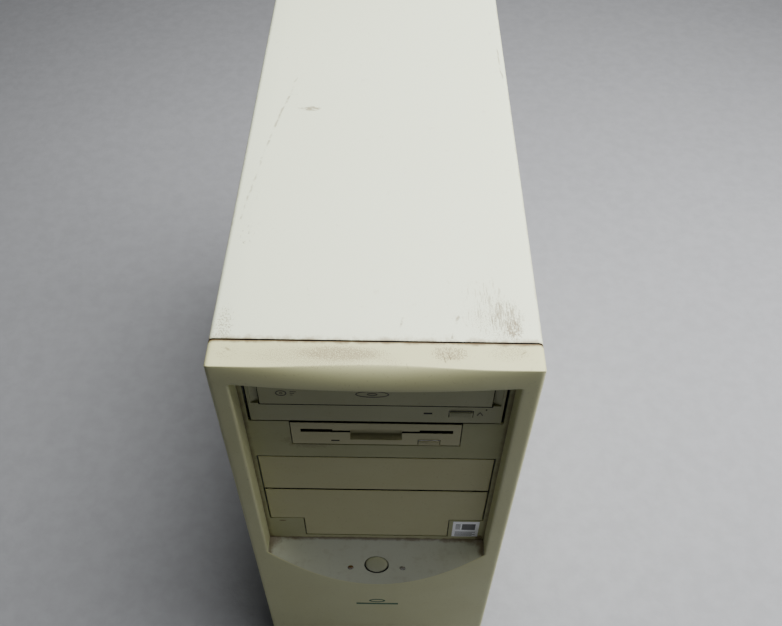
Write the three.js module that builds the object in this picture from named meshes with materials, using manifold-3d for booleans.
// A desktop computer tower of about the year 2000: a moulded front, a one-piece folded steel cover and,
// inside, the chassis, drives, power supply, board and cards. Millimetres, +Z up, the front faces -Y.
// Pieces are made in the case frame: x to the right, y back from the front plane, z up from the floor.
import * as THREE from "three";
import { mergeVertices } from "three/addons/utils/BufferGeometryUtils.js";
import Module from "manifold-3d";

const wasm = await Module();
wasm.setup();

// ---- Driving dimensions ----
const CASE_WIDTH = 178;
const CASE_HEIGHT = 396; // without the feet
const CASE_DEPTH = 432; // from the front plane to the cover's rear edge
const FOOT_HEIGHT = 10;
const FOOT_RADIUS = 13;
const EDGE_RADIUS = 3; // long outer edges of the cover and the bezel
const SHEET = 1; // steel sheet
const GAP = 0.4; // clearance between neighbouring pieces

const BEZEL_DEPTH = 18;
const BEZEL_WALL = 2.6;
const SEAM = 0.8; // between the bezel and the cover
const FRONT_BOW = 3; // how far the front stands out at the middle
const RECESS_DEPTH = 12;
const RECESS_HALF_WIDTH = 77.6;
const BROW_SIDE_HEIGHT = 15;
const BROW_MIDDLE_HEIGHT = 16.5;
const BROW_CREASE_SIDE = 0.5; // how far back the brow's top crease lies
const BROW_CREASE_MIDDLE = 3;
const BROW_CREASE_HALF_LENGTH = 70;
const RECESS_BOTTOM = 222.5; // below the top
const SCOOP_BOTTOM = 270.6;
const SCOOP_TIP = 221;

const WIDE_BAY = { halfWidth: 74.75, height: 42.3 }; // 5.25 inch opening
const SMALL_BAY = { halfWidth: 51.2, height: 25.4 }; // 3.5 inch opening
const OPTICAL_BAY_TOP = 26; // below the top
const FLOPPY_BAY_TOP = OPTICAL_BAY_TOP + WIDE_BAY.height;
const BLANK_BAYS_TOP = 107.9;
const HARD_DRIVE_BAY_TOP = BLANK_BAYS_TOP + 2 * WIDE_BAY.height;
const BAY_SLIT = 0.6; // dark line round a blank plate

const BUTTON_RADIUS = 8.25;
const BUTTON_RING = 0.9; // gap round the power button
const BUTTON_BELOW_TOP = 249.6;
const BUTTON_LENGTH = 7;
const BUTTON_TRAVEL = 2.5;
const LENS_RADIUS = 2;
const LENS_OFFSET = 19.4;
const LENS_BELOW_TOP = 252;
const SWITCH_SIZE = 12;

const OPTICAL = { halfWidth: 73, height: 41.3, length: 190, faceDepth: 5 };
const DOOR = { halfWidth: 66, top: 28.6, bottom: 48.9, depth: 3.2 };
const TRAY = { halfWidth: 64, length: 146, height: 10, discRadius: 60.5, discDepth: 4 };
const FLOPPY = { halfWidth: 50.6, height: 24, length: 133, faceDepth: 5 };
const FLOPPY_SLOT = { left: -44.9, right: 45.8, top: 75.8, height: 3.2 };
const HARD_DRIVE = { halfWidth: 50.8, height: 25.4, length: 147 };

const CAGE_LENGTH = 180.2;
const SUPPLY = { width: 150, height: 86, length: 140 };
const SUPPLY_BELOW_TOP = 15;
const FAN = { size: 80, depth: 25, rotorRadius: 36, hubRadius: 17 };
const COOLER = { size: 60, sinkHeight: 28, fanDepth: 12 };
const BOARD = { height: 244, length: 208, thickness: 1.6, standOff: 5.2 };
const IO_WINDOW = { width: 44.45, height: 158.75 };
const SLOT_PITCH = 20.32;
const CARD_SLOTS = 3;
const BRACKET = { length: 120, width: 18.4, thickness: 0.9 };
const SCREW = { headRadius: 5, headLength: 6, shankRadius: 1.6 };

// ---- Places that follow from them ----
const HALF = CASE_WIDTH / 2;
const TOP = FOOT_HEIGHT + CASE_HEIGHT;
const below = (drop) => TOP - drop;
const COVER_FRONT = BEZEL_DEPTH + SEAM;
const FRAME_FRONT = BEZEL_DEPTH + GAP;
const FRAME_BACK = FRAME_FRONT + SHEET;
const INSIDE = HALF - SHEET - GAP; // half width of the chassis, inside the cover
const INSIDE_TOP = TOP - EDGE_RADIUS - GAP; // below the rounding of the cover's long edges
const REAR_BACK = CASE_DEPTH - 2 * SHEET - GAP; // outer face of the rear panel
const REAR_FRONT = REAR_BACK - SHEET;
const CAGE_HALF = WIDE_BAY.halfWidth + 1.5;
const CAGE_BACK = FRAME_BACK + GAP + CAGE_LENGTH;
const SUPPLY_TOP = below(SUPPLY_BELOW_TOP);
const SUPPLY_BOTTOM = SUPPLY_TOP - SUPPLY.height;
const SUPPLY_BACK = REAR_FRONT - GAP;
const SUPPLY_FRONT = SUPPLY_BACK - SUPPLY.length;
const TRAY_WALL = INSIDE - 2 * SHEET; // inner face of the board tray
const BOARD_BACK_FACE = TRAY_WALL - BOARD.standOff;
const BOARD_FACE = BOARD_BACK_FACE - BOARD.thickness;
const BOARD_TOP = SUPPLY_BOTTOM - 6;
const BOARD_BOTTOM = BOARD_TOP - BOARD.height;
const BOARD_BACK = REAR_FRONT - 3;
const BOARD_FRONT = BOARD_BACK - BOARD.length;
const IO_TOP = BOARD_TOP - 3;
const IO_BOTTOM = IO_TOP - IO_WINDOW.height;
const IO_RIGHT = BOARD_BACK_FACE + GAP;
const FIRST_SLOT = IO_BOTTOM - 17.5;
const BRACKET_RIGHT = BOARD_FACE - 1;

// ---- Finishes ----
const FINISH = {
  coverPaint: [0xdcdcce, 0.45, 0],
  bezelPlastic: [0xd3cfb9, 0.6, 0],
  drivePlastic: [0xc9c4a8, 0.55, 0],
  buttonPlastic: [0xc4c1ae, 0.5, 0],
  amberLens: [0x8a4a1c, 0.25, 0],
  greyLens: [0x8d8c80, 0.25, 0],
  rubber: [0x2b2b2a, 0.9, 0],
  steel: [0xa9adb0, 0.4, 0.9],
  aluminium: [0xbfc2c4, 0.35, 0.9],
  blackPlastic: [0x1d1d1e, 0.5, 0],
  greenBoard: [0x1f5a37, 0.5, 0],
  greyRibbon: [0x9a9b98, 0.6, 0],
  wire: [0x2a2a2c, 0.6, 0],
  redSwitch: [0xa8261d, 0.45, 0],
};

const tower = new THREE.Group();
const placed = new THREE.Group();
const rearEnd = CASE_DEPTH + GAP + SCREW.headLength;
placed.position.y = (FRONT_BOW - rearEnd) / 2;
tower.add(placed);

function addPiece(name, body, finish) {
  const [color, roughness, metalness] = finish;
  const material = new THREE.MeshStandardMaterial({ color, roughness, metalness });
  const piece = new THREE.Mesh(geometryOf(body), material);
  piece.name = name;
  placed.add(piece);
}

// ---- Solids ----
function solidOf(geometry) {
  const bare = geometry.index ? geometry.toNonIndexed() : geometry.clone();
  bare.deleteAttribute("normal");
  bare.deleteAttribute("uv");
  const merged = mergeVertices(bare, 1e-4);
  return new wasm.Manifold(
    new wasm.Mesh({
      numProp: 3,
      vertProperties: merged.attributes.position.array,
      triVerts: new Uint32Array(merged.index.array),
    }),
  );
}

function geometryOf(body) {
  const made = body.getMesh();
  const geometry = new THREE.BufferGeometry();
  geometry.setAttribute("position", new THREE.BufferAttribute(made.vertProperties, 3));
  geometry.setIndex(new THREE.BufferAttribute(made.triVerts, 1));
  const flat = geometry.toNonIndexed();
  flat.computeVertexNormals();
  return flat;
}

const join = (first, ...others) => others.reduce((whole, body) => whole.add(body), first);
const cut = (first, ...others) => others.reduce((whole, body) => whole.subtract(body), first);
const common = (first, second) => first.intersect(second);

function box([x0, x1], [y0, y1], [z0, z1]) {
  const shape = new THREE.BoxGeometry(x1 - x0, y1 - y0, z1 - z0);
  return solidOf(shape.translate((x0 + x1) / 2, (y0 + y1) / 2, (z0 + z1) / 2));
}

// An outline of [u, v] points is pulled along an axis: u, v are x, y along z; x, z along y; y, z along x.
const AXIS_TURN = {
  x: new THREE.Matrix4().set(0, 0, 1, 0, 1, 0, 0, 0, 0, 1, 0, 0, 0, 0, 0, 1),
  y: new THREE.Matrix4().set(1, 0, 0, 0, 0, 0, -1, 0, 0, 1, 0, 0, 0, 0, 0, 1),
  z: new THREE.Matrix4(),
};

function prism(outline, axis, from, to) {
  const shape = new THREE.Shape(outline.map(([u, v]) => new THREE.Vector2(u, v)));
  const geometry = new THREE.ExtrudeGeometry(shape, { depth: to - from, bevelEnabled: false });
  geometry.translate(0, 0, axis === "y" ? -to : from);
  return solidOf(geometry.applyMatrix4(AXIS_TURN[axis]));
}

function circle([u, v], radius, sides) {
  const corner = (i) => (2 * Math.PI * i) / sides;
  return Array.from({ length: sides }, (_, i) => [
    u + radius * Math.cos(corner(i)),
    v + radius * Math.sin(corner(i)),
  ]);
}

const rod = (centre, radius, axis, from, to, sides = 24) =>
  prism(circle(centre, radius, sides), axis, from, to);

// Arc points round a centre, from one angle to another in degrees, ends included.
function arc([u, v], radius, fromDeg, toDeg, steps) {
  return Array.from({ length: steps + 1 }, (_, i) => {
    const angle = THREE.MathUtils.degToRad(fromDeg + ((toDeg - fromDeg) * i) / steps);
    return [u + radius * Math.cos(angle), v + radius * Math.sin(angle)];
  });
}

// A body whose section at each station x is outline(x), a counter-clockwise list of [y, z].
function loft(stations, outline) {
  const rings = stations.map(outline);
  const count = rings[0].length;
  const positions = rings.flatMap((ring, s) => ring.flatMap(([y, z]) => [stations[s], y, z]));
  const index = [];
  for (let s = 0; s + 1 < rings.length; s++)
    for (let i = 0; i < count; i++) {
      const a = s * count + i;
      const b = s * count + ((i + 1) % count);
      index.push(a, b, a + count, b, b + count, a + count);
    }
  const capOf = (ring) =>
    THREE.ShapeUtils.triangulateShape(ring.map(([y, z]) => new THREE.Vector2(y, z)), []);
  const last = (rings.length - 1) * count;
  capOf(rings[0]).forEach(([a, b, c]) => index.push(c, b, a));
  capOf(rings[rings.length - 1]).forEach(([a, b, c]) => index.push(last + a, last + b, last + c));
  const geometry = new THREE.BufferGeometry();
  geometry.setAttribute("position", new THREE.Float32BufferAttribute(positions, 3));
  geometry.setIndex(index);
  return solidOf(geometry);
}

const stationsAcross = (half, steps) =>
  Array.from({ length: steps + 1 }, (_, i) => -half + (2 * half * i) / steps);

// A round lead of one radius along a smooth curve through points.
function lead(points, radius, steps) {
  const path = new THREE.CatmullRomCurve3(points.map((p) => new THREE.Vector3(...p)));
  const section = new THREE.Shape(circle([0, 0], radius, 8).map(([u, v]) => new THREE.Vector2(u, v)));
  const options = { steps, bevelEnabled: false, extrudePath: path };
  return solidOf(new THREE.ExtrudeGeometry(section, options));
}

// A body of revolution: profile is [radius, height] along direction, from the point at.
function turned(profile, at, direction, sides) {
  const lathe = new THREE.LatheGeometry(profile.map(([r, h]) => new THREE.Vector2(r, h)), sides);
  const turn = new THREE.Quaternion().setFromUnitVectors(new THREE.Vector3(0, 1, 0), direction);
  lathe.applyQuaternion(turn);
  return solidOf(lathe.translate(at.x, at.y, at.z));
}

// ---- Front bezel ----
const frontAt = (x) => -FRONT_BOW * (1 - (x / HALF) ** 2);
const recessShare = (x) => Math.min(1, Math.abs(x) / RECESS_HALF_WIDTH);
const browHeightAt = (x) =>
  BROW_SIDE_HEIGHT + (BROW_MIDDLE_HEIGHT - BROW_SIDE_HEIGHT) * (1 - recessShare(x) ** 2);
const scoopEdgeAt = (x) => SCOOP_BOTTOM - (SCOOP_BOTTOM - SCOOP_TIP) * recessShare(x) ** 2;

function creaseAt(x) {
  const share = Math.min(1, Math.abs(x) / BROW_CREASE_HALF_LENGTH);
  const rise = (1 + Math.cos(Math.PI * share)) / 2;
  return BROW_CREASE_SIDE + (BROW_CREASE_MIDDLE - BROW_CREASE_SIDE) * rise;
}

// The brow rolls from its crease, where it starts at ROLL_START from level, to the upright front.
const ROLL_START = 22;
function browRoll(x, steps) {
  const start = Math.sin(THREE.MathUtils.degToRad(ROLL_START));
  const depth = creaseAt(x) - frontAt(x);
  const height = browHeightAt(x);
  return arc([0, 0], 1, 90 - ROLL_START, 0, steps).map(([along, up]) => {
    const forward = (along - start) / (1 - start);
    const raised = up / Math.sqrt(1 - start ** 2);
    return [creaseAt(x) - depth * forward, TOP - height * (1 - raised)];
  });
}

// The point of the scooped shelf at x, at a given drop below the top, and the direction it faces.
function scoopAt(x, drop) {
  const top = new THREE.Vector3(x, RECESS_DEPTH, below(RECESS_BOTTOM));
  const edge = new THREE.Vector3(x, frontAt(x), below(scoopEdgeAt(x)));
  const share = (drop - RECESS_BOTTOM) / (scoopEdgeAt(x) - RECESS_BOTTOM);
  const down = edge.clone().sub(top).normalize();
  return {
    point: top.clone().lerp(edge, share),
    outward: new THREE.Vector3(0, down.z, -down.y),
  };
}

const OUTSIDE = -20; // a cutter starts this far in front of the case
const BUTTON = scoopAt(0, BUTTON_BELOW_TOP);
const lensSpot = (side) => scoopAt(side * LENS_OFFSET, LENS_BELOW_TOP);

function boredAlong(spot, radius, sides) {
  const reach = 2 * BEZEL_DEPTH;
  const profile = [[0, -reach], [radius, -reach], [radius, reach], [0, reach]];
  return turned(profile, spot.point, spot.outward, sides);
}

function bayOpening(bay, topDrop, bays = 1, clearance = 0) {
  const half = bay.halfWidth - clearance;
  const low = below(topDrop + bays * bay.height) + clearance;
  return [[-half, half], [low, below(topDrop) - clearance]];
}

function frontBezel() {
  const floor = FOOT_HEIGHT;
  const outer = loft(stationsAcross(HALF, 24), (x) => [
    [frontAt(x), floor],
    [BEZEL_DEPTH, floor],
    [BEZEL_DEPTH, TOP],
    ...browRoll(x, 6),
  ]);
  const r = EDGE_RADIUS;
  const plan = prism(
    [
      [HALF, BEZEL_DEPTH],
      [-HALF, BEZEL_DEPTH],
      ...arc([-HALF + r, r], r, 180, 270, 4),
      [-HALF + r, OUTSIDE],
      [HALF - r, OUTSIDE],
      ...arc([HALF - r, r], r, 270, 360, 4),
    ],
    "z",
    floor,
    TOP,
  );
  const well = loft(stationsAcross(RECESS_HALF_WIDTH, 20), (x) => [
    [OUTSIDE, below(scoopEdgeAt(x))],
    [frontAt(x), below(scoopEdgeAt(x))],
    [RECESS_DEPTH, below(RECESS_BOTTOM)],
    [RECESS_DEPTH, below(browHeightAt(x))],
    [OUTSIDE, below(browHeightAt(x))],
  ]);
  const w = BEZEL_WALL;
  const back = BEZEL_DEPTH + 1;
  const sideHollow = (side) => {
    const ends = [side * (RECESS_HALF_WIDTH + w), side * (HALF - w)].sort((a, b) => a - b);
    return box(ends, [w, back], [below(RECESS_BOTTOM), below(2 * w)]);
  };
  const browHollow = box([-HALF + w, HALF - w], [RECESS_DEPTH - w, back], [
    below(BROW_SIDE_HEIGHT - w),
    below(w),
  ]);
  const panelHollow = box([-HALF + w, HALF - w], [RECESS_DEPTH + w, back], [
    below(RECESS_BOTTOM + w),
    below(w),
  ]);
  const lowerHollow = loft(stationsAcross(HALF - w, 16), (x) => [
    [frontAt(x) + w, floor + w],
    [back, floor + w],
    [back, below(RECESS_BOTTOM + w)],
    [RECESS_DEPTH + w, below(RECESS_BOTTOM + w)],
    [frontAt(x) + w, below(scoopEdgeAt(x) + 2 * w)],
  ]);
  const openings = [
    bayOpening(WIDE_BAY, OPTICAL_BAY_TOP),
    bayOpening(SMALL_BAY, FLOPPY_BAY_TOP),
    bayOpening(WIDE_BAY, BLANK_BAYS_TOP, 2),
    bayOpening(SMALL_BAY, HARD_DRIVE_BAY_TOP),
  ].map(([xs, zs]) => box(xs, [OUTSIDE, back], zs));
  const airIntake = box([-HALF / 2, HALF / 2], [w + 1, RECESS_DEPTH], [floor - 1, floor + 2 * w]);
  return cut(
    common(outer, plan),
    well,
    sideHollow(-1),
    sideHollow(1),
    browHollow,
    panelHollow,
    lowerHollow,
    ...openings,
    airIntake,
    boredAlong(BUTTON, BUTTON_RADIUS + BUTTON_RING, 32),
    boredAlong(lensSpot(-1), LENS_RADIUS + GAP / 2, 12),
    boredAlong(lensSpot(1), LENS_RADIUS + GAP / 2, 12),
  );
}

function blankPlate(parts) {
  const face = [RECESS_DEPTH, RECESS_DEPTH + BEZEL_WALL];
  const rim = [RECESS_DEPTH + 1, BEZEL_DEPTH - GAP];
  const plates = parts.map(([xs, zs]) => box(xs, face, zs));
  const [[x0, x1], [z0, z1]] = parts[0];
  const clip = (xs) => box(xs, rim, [z0 + BEZEL_WALL, z1 - BEZEL_WALL]);
  return join(...plates, clip([x0, x0 + BEZEL_WALL]), clip([x1 - BEZEL_WALL, x1]));
}

function frontPieces() {
  addPiece("front_bezel", frontBezel(), FINISH.bezelPlastic);
  const upper = bayOpening(WIDE_BAY, BLANK_BAYS_TOP, 1, BAY_SLIT);
  addPiece("blank_plate_upper", blankPlate([upper]), FINISH.bezelPlastic);
  const lower = bayOpening(WIDE_BAY, BLANK_BAYS_TOP + WIDE_BAY.height, 1, BAY_SLIT);
  const [smallX, [smallLow]] = bayOpening(SMALL_BAY, HARD_DRIVE_BAY_TOP, 1, BAY_SLIT);
  const tongue = [smallX, [smallLow, lower[1][0] + 1]];
  addPiece("blank_plate_lower", blankPlate([lower, tongue]), FINISH.bezelPlastic);

  const dome = 1;
  const cap = [
    [0, -BUTTON_LENGTH],
    [BUTTON_RADIUS, -BUTTON_LENGTH],
    [BUTTON_RADIUS, 0],
    [BUTTON_RADIUS * 0.6, dome * 0.75],
    [0, dome],
  ];
  const button = turned(cap, BUTTON.point, BUTTON.outward, 32);
  addPiece("power_button", button, FINISH.buttonPlastic);
  const switchDepth = BUTTON_LENGTH + BUTTON_TRAVEL + GAP;
  const half = SWITCH_SIZE / 2;
  const block = [
    [0, -switchDepth - SWITCH_SIZE],
    [half, -switchDepth - SWITCH_SIZE],
    [half, -switchDepth],
    [0, -switchDepth],
  ];
  const switchBody = turned(block, BUTTON.point, BUTTON.outward, 8);
  addPiece("power_switch", switchBody, FINISH.blackPlastic);
  const lens = (side) => {
    const spot = lensSpot(side);
    const profile = [[0, -5], [LENS_RADIUS, -5], [LENS_RADIUS, 0], [LENS_RADIUS * 0.6, 0.5], [0, 0.6]];
    return turned(profile, spot.point, spot.outward, 12);
  };
  addPiece("power_lens", lens(-1), FINISH.amberLens);
  addPiece("activity_lens", lens(1), FINISH.greyLens);
}

// ---- Chassis and cover ----
const COVER_LIP = 11;
const screwSpots = [-HALF * 0.7, HALF * 0.7].map((x) => [x, TOP - SHEET - COVER_LIP / 2]);

function coverPieces() {
  const r = EDGE_RADIUS;
  const bottom = FOOT_HEIGHT + 2;
  const uShape = (half, top, radius) => [
    [-half, bottom],
    [half, bottom],
    ...arc([half - radius, top - radius], radius, 0, 90, 4),
    ...arc([-half + radius, top - radius], radius, 90, 180, 4),
  ];
  const shell = cut(
    prism(uShape(HALF, TOP, r), "y", COVER_FRONT, CASE_DEPTH),
    prism(
      uShape(HALF - SHEET, TOP - SHEET, r - SHEET).map(([x, z]) => [x, z === bottom ? z - 1 : z]),
      "y",
      OUTSIDE,
      CASE_DEPTH - SHEET,
    ),
    box([-HALF + COVER_LIP, HALF - COVER_LIP], [OUTSIDE, CASE_DEPTH + 1], [
      bottom - 1,
      TOP - SHEET - COVER_LIP,
    ]),
    ...screwSpots.map((spot) => rod(spot, SCREW.shankRadius + GAP, "y", OUTSIDE, CASE_DEPTH + 1, 12)),
  );
  addPiece("wraparound_cover", shell, FINISH.coverPaint);
  screwSpots.forEach((spot, i) => {
    const headStart = CASE_DEPTH + GAP;
    const body = join(
      rod(spot, SCREW.headRadius, "y", headStart, headStart + SCREW.headLength, 16),
      rod(spot, SCREW.shankRadius, "y", REAR_FRONT - 2, headStart + 1, 8),
    );
    addPiece(`cover_screw_${i + 1}`, body, FINISH.steel);
  });
}

const BRACKET_LEFT = BRACKET_RIGHT - BRACKET.length;
const slotZ = (i) => FIRST_SLOT - i * SLOT_PITCH;
const slots = Array.from({ length: CARD_SLOTS }, (_, i) => i);

const REAR_VENTS = { count: 7, left: -62.5, width: 60, drop: 20, pitch: 11, height: 5 };
const FRONT_VENTS = { count: 6, drop: 10, pitch: 12, height: 6 };

function rearPanel() {
  const plate = box([-INSIDE, INSIDE], [REAR_FRONT, REAR_BACK], [
    FOOT_HEIGHT + 2 * SHEET + GAP,
    INSIDE_TOP,
  ]);
  const through = (xs, zs) => box(xs, [REAR_FRONT - 1, REAR_BACK + 1], zs);
  const margin = 3;
  const supplyHalf = SUPPLY.width / 2 - margin;
  const slotHalf = BRACKET.width / 2 - 2;
  const vents = Array.from({ length: REAR_VENTS.count }, (_, i) => {
    const low = IO_TOP - REAR_VENTS.drop - i * REAR_VENTS.pitch;
    return through([REAR_VENTS.left, REAR_VENTS.left + REAR_VENTS.width], [low, low + REAR_VENTS.height]);
  });
  return cut(
    plate,
    through([-supplyHalf, supplyHalf], [SUPPLY_BOTTOM + margin, SUPPLY_TOP - margin]),
    through([IO_RIGHT - IO_WINDOW.width, IO_RIGHT], [IO_BOTTOM, IO_TOP]),
    ...slots.map((i) =>
      through([BRACKET_LEFT + 12, BRACKET_RIGHT - 4], [slotZ(i) - slotHalf, slotZ(i) + slotHalf]),
    ),
    ...vents,
    ...screwSpots.map((spot) => rod(spot, SCREW.shankRadius + GAP, "y", OUTSIDE, CASE_DEPTH, 12)),
  );
}

function frontFrame() {
  const plate = box([-INSIDE, INSIDE], [FRAME_FRONT, FRAME_BACK], [
    FOOT_HEIGHT + 2 * SHEET + GAP,
    INSIDE_TOP,
  ]);
  const through = (xs, zs) => box(xs, [FRAME_FRONT - 1, FRAME_BACK + 1], zs);
  const half = WIDE_BAY.halfWidth + 1;
  const airTop = below(SCOOP_BOTTOM + 20);
  const airSlots = Array.from({ length: FRONT_VENTS.count }, (_, i) => {
    const low = airTop - FRONT_VENTS.drop - i * FRONT_VENTS.pitch;
    return through([-HALF / 2, HALF / 2], [low, low + FRONT_VENTS.height]);
  });
  return cut(
    plate,
    through([-half, half], [below(RECESS_BOTTOM - 2), below(OPTICAL_BAY_TOP - 3)]),
    through([-2 * LENS_OFFSET, 2 * LENS_OFFSET], [
      below(SCOOP_BOTTOM + 5),
      below(RECESS_BOTTOM + 12),
    ]),
    ...airSlots,
  );
}

function chassisBase() {
  const bottom = FOOT_HEIGHT + GAP;
  const flange = 14;
  const outline = [
    [-INSIDE, bottom],
    [INSIDE, bottom],
    [INSIDE, bottom + flange],
    [INSIDE - SHEET, bottom + flange],
    [INSIDE - SHEET, bottom + SHEET],
    [-INSIDE + SHEET, bottom + SHEET],
    [-INSIDE + SHEET, bottom + flange],
    [-INSIDE, bottom + flange],
  ];
  return prism(outline, "y", FRAME_BACK + GAP, REAR_FRONT - GAP);
}

const CAGE_TOP = below(OPTICAL_BAY_TOP - 2);
const CAGE_WINDOWS = { count: 3, height: 24, pitch: 50, margin: 25 }; // in its side walls
const CAGE_BOTTOM = below(HARD_DRIVE_BAY_TOP + SMALL_BAY.height + 5);

function driveCage() {
  const start = FRAME_BACK + GAP;
  const outer = box([-CAGE_HALF - SHEET, CAGE_HALF + SHEET], [start, CAGE_BACK], [
    CAGE_BOTTOM - SHEET,
    CAGE_TOP + SHEET,
  ]);
  const inner = box([-CAGE_HALF, CAGE_HALF], [start - 1, CAGE_BACK + 1], [CAGE_BOTTOM, CAGE_TOP]);
  const { count, height, pitch, margin } = CAGE_WINDOWS;
  const windows = Array.from({ length: count }, (_, i) => {
    const middle = below(OPTICAL_BAY_TOP + (i + 0.5) * pitch);
    return box([-HALF, HALF], [start + margin, CAGE_BACK - margin], [
      middle - height / 2,
      middle + height / 2,
    ]);
  });
  return cut(outer, inner, ...windows);
}

// A folded tray that holds a narrow drive between the cage's side walls.
function bayAdapter(halfWidth, topDrop, height, length) {
  const floor = below(topDrop + height) - GAP;
  const start = FRAME_BACK + GAP;
  const wall = (side) => {
    const inner = side * (halfWidth + GAP);
    const xs = [inner, inner + side * SHEET].sort((a, b) => a - b);
    return box(xs, [start, start + length], [floor - SHEET, floor + height * 0.8]);
  };
  const reach = CAGE_HALF - GAP;
  const plate = box([-reach, reach], [start, start + length], [floor - SHEET, floor]);
  return join(plate, wall(-1), wall(1));
}

function boardTray() {
  const plate = box([TRAY_WALL, TRAY_WALL + SHEET], [BOARD_FRONT - 8, REAR_FRONT - GAP], [
    FOOT_HEIGHT + 2 * SHEET + 2 * GAP,
    BOARD_TOP + 4,
  ]);
  const posts = [0.1, 0.9].flatMap((alongY) =>
    [0.06, 0.5, 0.94].map((alongZ) => {
      const spot = [BOARD_FRONT + alongY * BOARD.length, BOARD_BOTTOM + alongZ * BOARD.height];
      return rod(spot, 3, "x", BOARD_BACK_FACE + GAP, TRAY_WALL + SHEET / 2, 6);
    }),
  );
  return join(plate, ...posts);
}

const SPEAKER = { radius: 28, rim: 6, magnetRadius: 14, depth: 20 };

function chassisPieces() {
  addPiece("chassis_base", chassisBase(), FINISH.steel);
  addPiece("front_frame", frontFrame(), FINISH.steel);
  addPiece("rear_panel", rearPanel(), FINISH.steel);
  addPiece("drive_cage", driveCage(), FINISH.steel);
  addPiece("board_tray", boardTray(), FINISH.steel);
  const inset = 27;
  [-1, 1].forEach((side) => {
    [["front", 2 * inset], ["rear", CASE_DEPTH - 2 * inset]].forEach(([end, y]) => {
      const foot = rod([side * (HALF - inset), y], FOOT_RADIUS, "z", 0, FOOT_HEIGHT);
      addPiece(`foot_${end}_${side < 0 ? "left" : "right"}`, foot, FINISH.rubber);
    });
  });
  const speakerFront = FRAME_BACK + GAP;
  const speakerCentre = [-HALF / 3, FOOT_HEIGHT + 60];
  const { radius, rim, magnetRadius, depth } = SPEAKER;
  const speaker = join(
    rod(speakerCentre, radius, "y", speakerFront, speakerFront + rim),
    rod(speakerCentre, magnetRadius, "y", speakerFront + rim - 1, speakerFront + depth),
  );
  addPiece("speaker", speaker, FINISH.blackPlastic);
}

// ---- Drives ----
const EJECT = { left: 42.3, right: 55.8, top: 54.7, bottom: 60.7, travel: 1 };
const FLOPPY_EJECT = { left: 25.6, right: 38.4, top: 86.6, bottom: 91.3 };
const FACE_FRONT = RECESS_DEPTH - 0.4; // a drive's plastic face stands this far back
const BUTTON_PROUD = 0.8;
const OPTICAL_LAMP = { left: 27.5, right: 32.5, top: 56.7, bottom: 58.3 };
const FLOPPY_LAMP = { left: -27.1, right: -22.1, top: 87.7, bottom: 88.8 };
const FINGER = { halfWidth: 15.5, rise: 2, drop: 10, depth: 2.6 }; // beside the floppy slot's top

const widened = ([low, high], by = GAP) => [low - by, high + by];

// A shallow recess in a drive's face for its lamp.
const lampRecess = (lamp) =>
  box([lamp.left, lamp.right], [OUTSIDE, FACE_FRONT + 1], [below(lamp.bottom), below(lamp.top)]);

const SPINDLE_RADIUS = 12;
const LENS_SLOT_HALF = 20; // half width of the slot through the disc tray

function opticalDrive() {
  const top = OPTICAL_BAY_TOP + (WIDE_BAY.height - OPTICAL.height) / 2;
  const zs = [below(top + OPTICAL.height), below(top)];
  const xs = [-OPTICAL.halfWidth, OPTICAL.halfWidth];
  const faceBack = FACE_FRONT + OPTICAL.faceDepth;
  const doorZs = [below(DOOR.bottom), below(DOOR.top)];
  const ejectXs = [EJECT.left, EJECT.right];
  const ejectZs = [below(EJECT.bottom), below(EJECT.top)];
  const face = cut(
    box(xs, [FACE_FRONT, faceBack], zs),
    box(widened([-DOOR.halfWidth, DOOR.halfWidth]), [OUTSIDE, faceBack + 1], widened(doorZs)),
    box(widened(ejectXs), [OUTSIDE, faceBack + 1], widened(ejectZs)),
    lampRecess(OPTICAL_LAMP),
  );
  addPiece("optical_drive_face", face, FINISH.drivePlastic);
  const caseFront = faceBack + GAP;
  const caseBack = caseFront + OPTICAL.length;
  const shell = cut(
    box(xs, [caseFront, caseBack], zs),
    box([xs[0] + SHEET, xs[1] - SHEET], [OUTSIDE, caseBack - SHEET], [zs[0] + SHEET, zs[1] - SHEET]),
  );
  addPiece("optical_drive_case", shell, FINISH.steel);
  const doorBack = FACE_FRONT - BUTTON_PROUD + DOOR.depth;
  const door = box([-DOOR.halfWidth, DOOR.halfWidth], [doorBack - DOOR.depth, doorBack], doorZs);
  addPiece("optical_tray_door", door, FINISH.drivePlastic);
  const trayFront = doorBack + GAP;
  const trayTop = below(DOOR.top + 7);
  const trayBase = trayTop - TRAY.height;
  const discY = trayFront + TRAY.discRadius + 6;
  const tray = cut(
    box([-TRAY.halfWidth, TRAY.halfWidth], [trayFront, trayFront + TRAY.length], [trayBase, trayTop]),
    rod([0, discY], TRAY.discRadius, "z", trayTop - TRAY.discDepth, trayTop + 1, 40),
    box([-LENS_SLOT_HALF, LENS_SLOT_HALF], [discY, trayFront + TRAY.length + 1], [
      trayBase - 1,
      trayTop + 1,
    ]),
  );
  addPiece("optical_tray", tray, FINISH.blackPlastic);
  const deckHalf = TRAY.halfWidth - 6;
  const deck = join(
    box([-deckHalf, deckHalf], [caseFront + 22, caseBack - 3 * SHEET], [zs[0] + 3, trayBase - 4]),
    rod([0, discY], SPINDLE_RADIUS, "z", zs[0] + 4, trayBase - 1),
  );
  addPiece("optical_mechanism", deck, FINISH.blackPlastic);
  const eject = box(ejectXs, [FACE_FRONT - BUTTON_PROUD, faceBack], ejectZs);
  addPiece("optical_eject_button", eject, FINISH.drivePlastic);
}

const DISC_SLOT = { halfWidth: 47, fromBack: 30, rise: 2, drop: 6 }; // in the floppy drive's case
const FLAP_PIVOT = { y: FACE_FRONT + 3.4, drop: FLOPPY_SLOT.top - 0.5 };

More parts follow.
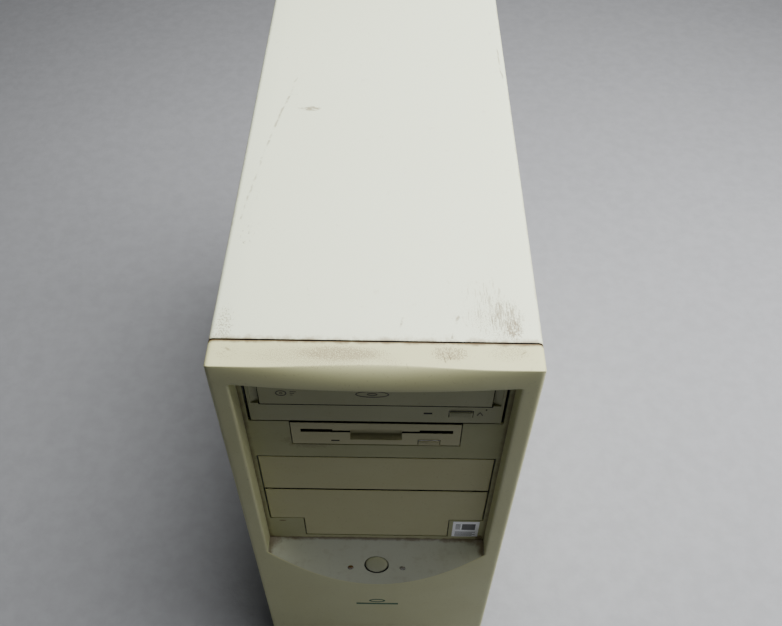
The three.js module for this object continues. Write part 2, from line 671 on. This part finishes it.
function floppyDrive() {
  const top = FLOPPY_BAY_TOP + (SMALL_BAY.height - FLOPPY.height) / 2;
  const zs = [below(top + FLOPPY.height), below(top)];
  const xs = [-FLOPPY.halfWidth, FLOPPY.halfWidth];
  const faceBack = FACE_FRONT + FLOPPY.faceDepth;
  const slot = FLOPPY_SLOT;
  const slotZs = [below(slot.top + slot.height), below(slot.top)];
  const ejectXs = [FLOPPY_EJECT.left, FLOPPY_EJECT.right];
  const ejectZs = [below(FLOPPY_EJECT.bottom), below(FLOPPY_EJECT.top)];
  const finger = loft([-FINGER.halfWidth, FINGER.halfWidth], () => [
    [OUTSIDE, below(slot.top + FINGER.drop)],
    [FACE_FRONT, below(slot.top + FINGER.drop)],
    [FACE_FRONT + FINGER.depth, below(slot.top + FINGER.rise)],
    [OUTSIDE, below(slot.top + FINGER.rise)],
  ]);
  const face = cut(
    box(xs, [FACE_FRONT, faceBack], zs),
    box([slot.left, slot.right], [OUTSIDE, faceBack + 1], slotZs),
    box(widened([slot.left, slot.right]), [FACE_FRONT + FINGER.depth, faceBack + 1], widened(slotZs, 1.3)),
    finger,
    box(widened(ejectXs), [OUTSIDE, faceBack + 1], widened(ejectZs)),
    lampRecess(FLOPPY_LAMP),
  );
  addPiece("floppy_drive_face", face, FINISH.drivePlastic);
  const caseFront = faceBack + GAP;
  const caseBack = caseFront + FLOPPY.length;
  const shell = cut(
    box(xs, [caseFront, caseBack], zs),
    box([-DISC_SLOT.halfWidth, DISC_SLOT.halfWidth], [OUTSIDE, caseBack - DISC_SLOT.fromBack], [
      below(slot.top + DISC_SLOT.drop),
      below(slot.top - DISC_SLOT.rise),
    ]),
  );
  addPiece("floppy_drive_case", shell, FINISH.steel);
  const flapHalfThick = 0.4;
  const flap = join(
    box([slot.left + GAP, slot.right - GAP], [FLAP_PIVOT.y - flapHalfThick, FLAP_PIVOT.y + flapHalfThick], [
      slotZs[0] - 0.6,
      below(FLAP_PIVOT.drop),
    ]),
    rod([FLAP_PIVOT.y, below(FLAP_PIVOT.drop)], 0.6, "x", slot.left + GAP, slot.right - GAP, 8),
  );
  addPiece("floppy_flap", flap, FINISH.drivePlastic);
  const eject = box(ejectXs, [FACE_FRONT - BUTTON_PROUD, faceBack - GAP], ejectZs);
  addPiece("floppy_eject_button", eject, FINISH.drivePlastic);
  const adapter = bayAdapter(FLOPPY.halfWidth, top, FLOPPY.height, FLOPPY.length - 20);
  addPiece("floppy_bay_adapter", adapter, FINISH.steel);
}

function hardDrive() {
  const start = FRAME_BACK + 22;
  const zs = [below(HARD_DRIVE_BAY_TOP + HARD_DRIVE.height), below(HARD_DRIVE_BAY_TOP)];
  const half = HARD_DRIVE.halfWidth;
  const body = join(
    box([-half, half], [start, start + HARD_DRIVE.length], [zs[0], zs[1] - 3]),
    box([-half + 4, half - 4], [start + 4, start + HARD_DRIVE.length - 12], [zs[1] - 4, zs[1]]),
  );
  addPiece("hard_drive", body, FINISH.aluminium);
  const adapter = bayAdapter(half, HARD_DRIVE_BAY_TOP, HARD_DRIVE.height, HARD_DRIVE.length + 18);
  addPiece("hard_drive_adapter", adapter, FINISH.steel);
}

// ---- Fans ----
// Blades set at a slant round a hub, which turns about the named axis through centre.
function rotor(axis, centre, hubRadius, tipRadius, from, to, blades) {
  const hub = rod(centre, hubRadius, axis, from, to, 20);
  const depth = (to - from) * 0.8;
  const chord = hubRadius * 0.9;
  const wings = Array.from({ length: blades }, (_, i) => {
    const length = tipRadius - hubRadius + 2;
    const blade = new THREE.BoxGeometry(length, 1.6, Math.hypot(depth, chord) * 0.75);
    blade.rotateX(THREE.MathUtils.degToRad(45));
    blade.translate(hubRadius - 2 + length / 2, 0, 0);
    blade.rotateZ((2 * Math.PI * i) / blades);
    blade.translate(centre[0], centre[1], axis === "y" ? -(from + to) / 2 : (from + to) / 2);
    return solidOf(blade.applyMatrix4(AXIS_TURN[axis]));
  });
  const sweep = rod(centre, tipRadius + 1, axis, from + 0.5, to - 0.5, 32);
  return join(hub, common(join(...wings), sweep));
}

function fanFrame(axis, centre, size, bore, from, to) {
  const [u, v] = centre;
  const half = size / 2;
  const square = [
    [u - half, v - half],
    [u + half, v - half],
    [u + half, v + half],
    [u - half, v + half],
  ];
  return cut(prism(square, axis, from, to), rod(centre, bore, axis, from - 1, to + 1, 36));
}

// ---- Power supply ----
const SUPPLY_MIDDLE = (SUPPLY_TOP + SUPPLY_BOTTOM) / 2;
const FAN_CENTRE = [-SUPPLY.width / 2 + FAN.size / 2 + 3, SUPPLY_MIDDLE];
const INLET = { x: 46, z: SUPPLY_MIDDLE - 20, halfWidth: 12, halfHeight: 8, depth: 16, rim: 3 };
const ROCKER = { x: 46, z: SUPPLY_MIDDLE + 22, halfWidth: 7, halfHeight: 9.5, tilt: 8 };
const SELECTOR = { x: 22, z: SUPPLY_MIDDLE + 22, halfWidth: 5.5, halfHeight: 3.4 };
const ROCKER_PIVOT_Y = SUPPLY_BACK - 3;
const spanAround = (middle, half) => [middle - half, middle + half];

function supplyPieces() {
  const half = SUPPLY.width / 2;
  const wall = SHEET;
  const through = (piece, by = GAP) =>
    box(spanAround(piece.x, piece.halfWidth + by), [SUPPLY_BACK - 2 * wall, REAR_BACK],
      spanAround(piece.z, piece.halfHeight + by));
  const inletBody = { ...INLET, halfWidth: INLET.halfWidth + 1.5, halfHeight: INLET.halfHeight + 1.5 };
  const shell = cut(
    box([-half, half], [SUPPLY_FRONT, SUPPLY_BACK], [SUPPLY_BOTTOM, SUPPLY_TOP]),
    box([-half + wall, half - wall], [SUPPLY_FRONT + wall, SUPPLY_BACK - wall], [
      SUPPLY_BOTTOM + wall,
      SUPPLY_TOP - wall,
    ]),
    rod(FAN_CENTRE, FAN.rotorRadius + 2, "y", SUPPLY_BACK - 2, SUPPLY_BACK + 1, 36),
    through(inletBody),
    through({ ...ROCKER, halfWidth: ROCKER.halfWidth + 1, halfHeight: ROCKER.halfHeight + 1 }),
    through(SELECTOR),
    rod([half * 0.75, SUPPLY_MIDDLE - 15], 9, "y", SUPPLY_FRONT - 1, SUPPLY_FRONT + 2, 16),
    rod([-half * 0.75, SUPPLY_MIDDLE - 15], 7, "y", SUPPLY_FRONT - 1, SUPPLY_FRONT + 2, 16),
  );
  addPiece("supply_case", shell, FINISH.steel);

  const fanBack = SUPPLY_BACK - wall - GAP;
  const fanFront = fanBack - FAN.depth;
  const frame = join(
    fanFrame("y", FAN_CENTRE, FAN.size, FAN.rotorRadius + 2, fanFront, fanBack),
    box(spanAround(FAN_CENTRE[0], FAN.size / 2), [fanFront, fanFront + 2], spanAround(SUPPLY_MIDDLE, 3)),
    rod(FAN_CENTRE, FAN.hubRadius, "y", fanFront, fanFront + 2, 20),
  );
  addPiece("supply_fan_frame", frame, FINISH.blackPlastic);
  const spin = rotor("y", FAN_CENTRE, FAN.hubRadius, FAN.rotorRadius, fanFront + 3, fanBack - 2, 7);
  addPiece("supply_fan_rotor", spin, FINISH.blackPlastic);

  const wire = 1.1;
  const grilleFront = SUPPLY_BACK + GAP;
  const ring = (radius) =>
    cut(
      rod(FAN_CENTRE, radius + wire, "y", grilleFront, grilleFront + 2 * wire, 28),
      rod(FAN_CENTRE, radius - wire, "y", grilleFront - 1, grilleFront + 2 * wire + 1, 28),
    );
  const reach = FAN.rotorRadius;
  const [fanX, fanZ] = FAN_CENTRE;
  const bars = [
    box(spanAround(fanX, reach), [grilleFront, grilleFront + wire], spanAround(fanZ, wire)),
    box(spanAround(fanX, wire), [grilleFront, grilleFront + wire], spanAround(fanZ, reach)),
  ];
  const grille = join(ring(reach - 1), ring(reach * 0.66), ring(reach * 0.34), ...bars);
  addPiece("supply_fan_grille", grille, FINISH.steel);

  const flangeFront = SUPPLY_BACK + GAP;
  const inlet = cut(
    join(
      box(spanAround(INLET.x, INLET.halfWidth + 1.5), [flangeFront - INLET.depth - 3, flangeFront + 1],
        spanAround(INLET.z, INLET.halfHeight + 1.5)),
      box(spanAround(INLET.x, INLET.halfWidth + 3.5), [flangeFront, flangeFront + 2],
        spanAround(INLET.z, INLET.halfHeight + 3.5)),
    ),
    box(spanAround(INLET.x, INLET.halfWidth), [flangeFront - INLET.depth, REAR_BACK + 2],
      spanAround(INLET.z, INLET.halfHeight)),
  );
  const pin = (dx, dz) =>
    box(spanAround(INLET.x + dx, 1), [flangeFront - INLET.depth - 1, flangeFront - 5],
      spanAround(INLET.z + dz, 2));
  addPiece("mains_inlet", join(inlet, pin(-7, -1), pin(0, 2), pin(7, -1)), FINISH.blackPlastic);

  const halfDepth = 4;
  const rocker = new THREE.BoxGeometry(2 * ROCKER.halfWidth, 2 * halfDepth, 2 * ROCKER.halfHeight);
  rocker.rotateX(THREE.MathUtils.degToRad(-ROCKER.tilt));
  rocker.translate(ROCKER.x, ROCKER_PIVOT_Y, ROCKER.z);
  addPiece("supply_rocker", solidOf(rocker), FINISH.blackPlastic);
  const knob = join(
    box(spanAround(SELECTOR.x - 2, 3), [SUPPLY_BACK - 4, SUPPLY_BACK + 1],
      spanAround(SELECTOR.z, SELECTOR.halfHeight)),
    box(spanAround(SELECTOR.x - 2, 1), [SUPPLY_BACK, SUPPLY_BACK + 1.6],
      spanAround(SELECTOR.z, SELECTOR.halfHeight - 1)),
  );
  addPiece("voltage_selector", knob, FINISH.redSwitch);
}

// ---- Board, cards and ports ----
const COOLER_CENTRE = [BOARD_BACK - 92, BOARD_TOP - 72];
const SOCKET_HEIGHT = 11;
const GROOVE = 2 * GAP + BOARD.thickness;
const CARD_EDGE = BOARD_FACE - 5; // how deep a card's edge reaches into its socket
const MEMORY = { length: 133, height: 30, pitch: 12, fromFront: 22 };
const memoryY = (i) => BOARD_FRONT + MEMORY.fromFront + i * MEMORY.pitch;
const memoryZs = [BOARD_TOP - 8 - MEMORY.length, BOARD_TOP - 8];
const DATA_HEADER = { z: BOARD_BOTTOM + 62, half: 28 };
const FLOPPY_HEADER = { z: BOARD_BOTTOM + 20, half: 12 };
const POWER_HEADER = { y: BOARD_FRONT + 58, z: BOARD_TOP - 16 };
const HEADER_Y = [BOARD_FRONT + 3, BOARD_FRONT + 10];
const HEADER_HEIGHT = 8;

function socketStrip(ys, zs, height) {
  return box([BOARD_FACE - height, BOARD_FACE + 0.5], ys, zs);
}

function boardPieces() {
  const sheet = box([BOARD_FACE, BOARD_BACK_FACE], [BOARD_FRONT, BOARD_BACK], [BOARD_BOTTOM, BOARD_TOP]);
  const cardYs = [BOARD_BACK - 100, BOARD_BACK - 16];
  const cardSockets = slots.map((i) =>
    cut(
      socketStrip(cardYs, spanAround(slotZ(i), 4), SOCKET_HEIGHT),
      box([BOARD_FACE - SOCKET_HEIGHT - 1, CARD_EDGE + GAP], [cardYs[0] + 2, cardYs[1] - 2],
        spanAround(slotZ(i), GROOVE / 2)),
    ),
  );
  const memorySockets = [0, 1].map((i) =>
    cut(
      socketStrip(spanAround(memoryY(i), 3.5), [memoryZs[0] - 4, memoryZs[1] + 4], SOCKET_HEIGHT),
      box([BOARD_FACE - SOCKET_HEIGHT - 1, CARD_EDGE + GAP], spanAround(memoryY(i), GROOVE / 2),
        [memoryZs[0] - GAP, memoryZs[1] + GAP]),
    ),
  );
  const [coolerY, coolerZ] = COOLER_CENTRE;
  const fixtures = [
    socketStrip(spanAround(coolerY, 25), spanAround(coolerZ, 25), 3),
    socketStrip(HEADER_Y, spanAround(DATA_HEADER.z, DATA_HEADER.half), HEADER_HEIGHT),
    socketStrip(HEADER_Y, spanAround(FLOPPY_HEADER.z, FLOPPY_HEADER.half), HEADER_HEIGHT),
    socketStrip(spanAround(POWER_HEADER.y, 5), spanAround(POWER_HEADER.z, 12), 9),
    rod([coolerY - 50, BOARD_BOTTOM + 30], 10, "x", BOARD_FACE - 3, BOARD_FACE + 0.5, 20),
    socketStrip(spanAround(coolerY - 20, 14), spanAround(BOARD_BOTTOM + 108, 14), 3),
  ];
  addPiece("main_board", join(sheet, ...cardSockets, ...memorySockets, ...fixtures), FINISH.greenBoard);

  const stick = box([CARD_EDGE - MEMORY.height, CARD_EDGE], spanAround(memoryY(0), BOARD.thickness / 2),
    memoryZs);
  addPiece("memory_module", stick, FINISH.greenBoard);

  const sinkRight = BOARD_FACE - 3 - GAP;
  const sinkLeft = sinkRight - COOLER.sinkHeight;
  const half = COOLER.size / 2;
  const fins = Array.from({ length: 9 }, (_, i) => {
    const z = coolerZ - half + 3.4 + (i * (COOLER.size - 6.8)) / 8;
    return box([sinkLeft, sinkRight - 4], spanAround(coolerY, half), spanAround(z, 1));
  });
  const base = box([sinkRight - 5, sinkRight], spanAround(coolerY, half), spanAround(coolerZ, half));
  addPiece("cooler_heatsink", join(base, ...fins), FINISH.aluminium);
  const fanRight = sinkLeft - GAP;
  const fanLeft = fanRight - COOLER.fanDepth;
  const bore = half - 2.5;
  const frame = join(
    fanFrame("x", COOLER_CENTRE, COOLER.size, bore, fanLeft, fanRight),
    box([fanRight - 2, fanRight], spanAround(coolerY, half), spanAround(coolerZ, 2)),
  );
  addPiece("cooler_fan_frame", frame, FINISH.blackPlastic);
  const spin = rotor("x", COOLER_CENTRE, 12, bore - 1.5, fanLeft + 1, fanRight - 3, 7);
  addPiece("cooler_fan_rotor", spin, FINISH.blackPlastic);
}

function cardPieces() {
  const plateYs = [REAR_FRONT - GAP - BRACKET.thickness, REAR_FRONT - GAP];
  const plate = (i) => box([BRACKET_LEFT, BRACKET_RIGHT], plateYs, spanAround(slotZ(i), BRACKET.width / 2));
  const cards = [
    { name: "graphics", slot: 0, reach: 98, length: 150, chip: 20 },
    { name: "sound", slot: 2, reach: 84, length: 125, chip: 12 },
  ];
  cards.forEach(({ name, slot, reach, length, chip }) => {
    addPiece(`${name}_card_bracket`, plate(slot), FINISH.steel);
    const back = plateYs[0] - GAP;
    const z = slotZ(slot);
    const tongueYs = [BOARD_BACK - 96, BOARD_BACK - 20];
    const sheet = join(
      box([CARD_EDGE - reach, BOARD_FACE - SOCKET_HEIGHT - GAP], [back - length, back],
        spanAround(z, BOARD.thickness / 2)),
      box([CARD_EDGE - 20, CARD_EDGE], tongueYs, spanAround(z, BOARD.thickness / 2)),
      box(spanAround(CARD_EDGE - reach / 2, chip), spanAround(back - length / 2, chip), [
        z - 7,
        z,
      ]),
    );
    addPiece(`${name}_card`, sheet, FINISH.greenBoard);
  });
  addPiece("slot_cover", plate(1), FINISH.steel);
}

// Connector blocks along the board's rear edge: drop below the window's top, height, reach from the board.
const PORTS = [
  { name: "keyboard_ports", drop: 4, height: 14.5, reach: 27 },
  { name: "data_ports", drop: 24, height: 15.5, reach: 31 },
  { name: "long_ports", drop: 46, height: 53, reach: 32 },
  { name: "audio_ports", drop: 106, height: 46, reach: 26 },
];
const SOCKETS = [
  { name: "usb_lower", from: 2.5, height: 5.2, width: 12.6 },
  { name: "usb_upper", from: 9.7, height: 5.2, width: 12.6 },
  { name: "network", from: 17.4, height: 11, width: 12 },
];
const portZs = (port) => [IO_TOP - port.drop - port.height, IO_TOP - port.drop];
const PORT_OUT = REAR_BACK + 1.2;

function portPieces() {
  const shieldYs = [REAR_FRONT + GAP / 2, REAR_BACK - GAP / 2];
  const holes = PORTS.map((port) => {
    const [low, high] = portZs(port);
    return box([BOARD_FACE - port.reach - GAP, BOARD_FACE + GAP], [REAR_FRONT - 1, REAR_BACK + 1], [
      low - GAP,
      high + GAP,
    ]);
  });
  const shield = box([IO_RIGHT - IO_WINDOW.width + GAP, IO_RIGHT - GAP], shieldYs, [
    IO_BOTTOM + GAP,
    IO_TOP - GAP,
  ]);
  addPiece("port_shield", cut(shield, ...holes), FINISH.steel);
  const deep = 14;
  PORTS.forEach((port) => {
    const zs = portZs(port);
    const block = box([BOARD_FACE - port.reach, BOARD_FACE - GAP], [BOARD_BACK - 10, PORT_OUT], zs);
    const middle = (zs[0] + zs[1]) / 2;
    const recesses =
      port.name === "data_ports"
        ? SOCKETS.map((s) =>
            box([BOARD_FACE - s.from - s.height, BOARD_FACE - s.from], [PORT_OUT - deep, PORT_OUT + 1],
              spanAround(middle, s.width / 2)),
          )
        : [];
    addPiece(port.name, cut(block, ...recesses), FINISH.aluminium);
  });
}

// ---- Cables held inside ----
const RIBBON = 1;

// A flat ribbon hangs in a plane at depth y, turns a square corner and ends at a header on the board.
function ribbon(halfWidth, x, y, from, header, start) {
  const hanging = box(spanAround(x, halfWidth), [y, y + RIBBON], [header - halfWidth, from]);
  const run = box([x, BOARD_FACE - HEADER_HEIGHT - GAP], [y, y + RIBBON], spanAround(header, halfWidth));
  const toDrive = box(spanAround(x, halfWidth), [start, y + RIBBON], [from - RIBBON, from]);
  return join(hanging, run, toDrive);
}

function cablePieces() {
  const opticalBack = FACE_FRONT + OPTICAL.faceDepth + GAP + OPTICAL.length;
  const floppyBack = FACE_FRONT + FLOPPY.faceDepth + GAP + FLOPPY.length;
  const dataZ = below(OPTICAL_BAY_TOP + 25);
  const floppyZ = below(FLOPPY_BAY_TOP + 16);
  const clear = opticalBack + 2;
  const headerY = HEADER_Y[0] + 1;
  const dataRibbon = ribbon(DATA_HEADER.half - 3, 20, headerY + 3, dataZ, DATA_HEADER.z, opticalBack + GAP);
  addPiece("data_ribbon", dataRibbon, FINISH.greyRibbon);
  const floppyRibbon = ribbon(FLOPPY_HEADER.half, -20, headerY, floppyZ, FLOPPY_HEADER.z, floppyBack + GAP);
  addPiece("floppy_ribbon", floppyRibbon, FINISH.greyRibbon);
  const supplyExit = SUPPLY_MIDDLE - 15;
  const exitX = SUPPLY.width * 0.375;
  const boardLead = lead(
    [
      [exitX, SUPPLY_FRONT - GAP, supplyExit],
      [exitX, SUPPLY_FRONT - 14, supplyExit - 4],
      [exitX + 1, SUPPLY_FRONT - 17, supplyExit - 26],
      [exitX + 2, POWER_HEADER.y + 2, POWER_HEADER.z + 12],
      [BOARD_FACE - 20, POWER_HEADER.y, POWER_HEADER.z],
      [BOARD_FACE - 9 - GAP, POWER_HEADER.y, POWER_HEADER.z],
    ],
    4.5,
    18,
  );
  addPiece("board_power_lead", boardLead, FINISH.wire);
  const driveLead = lead(
    [
      [-exitX, SUPPLY_FRONT - GAP, supplyExit],
      [-exitX, SUPPLY_FRONT - 18, supplyExit - 2],
      [-exitX, (SUPPLY_FRONT + clear) / 2, supplyExit - 14],
      [-exitX, clear + 18, dataZ - 8],
      [-exitX, clear + GAP, dataZ],
    ],
    3.5,
    18,
  );
  addPiece("drive_power_lead", driveLead, FINISH.wire);
  const switchBack = BUTTON.outward.clone().multiplyScalar(
    -(BUTTON_LENGTH + BUTTON_TRAVEL + 2 * GAP + SWITCH_SIZE + 1),
  );
  const start = BUTTON.point.clone().add(switchBack);
  const switchLead = lead(
    [
      start.toArray(),
      [start.x, start.y + 12, start.z - 4],
      [start.x + 8, start.y + 60, CAGE_BOTTOM - 26],
      [start.x + 30, BOARD_FRONT - 40, BOARD_BOTTOM + 10],
      [BOARD_FACE - 12, BOARD_FRONT + 10, BOARD_BOTTOM + 3],
      [BOARD_FACE - 1, BOARD_FRONT + 24, BOARD_BOTTOM + 3],
    ],
    1.3,
    24,
  );
  addPiece("switch_lead", switchLead, FINISH.wire);
}

frontPieces();
coverPieces();
chassisPieces();
opticalDrive();
floppyDrive();
hardDrive();
supplyPieces();
boardPieces();
cardPieces();
portPieces();
cablePieces();

export default tower;
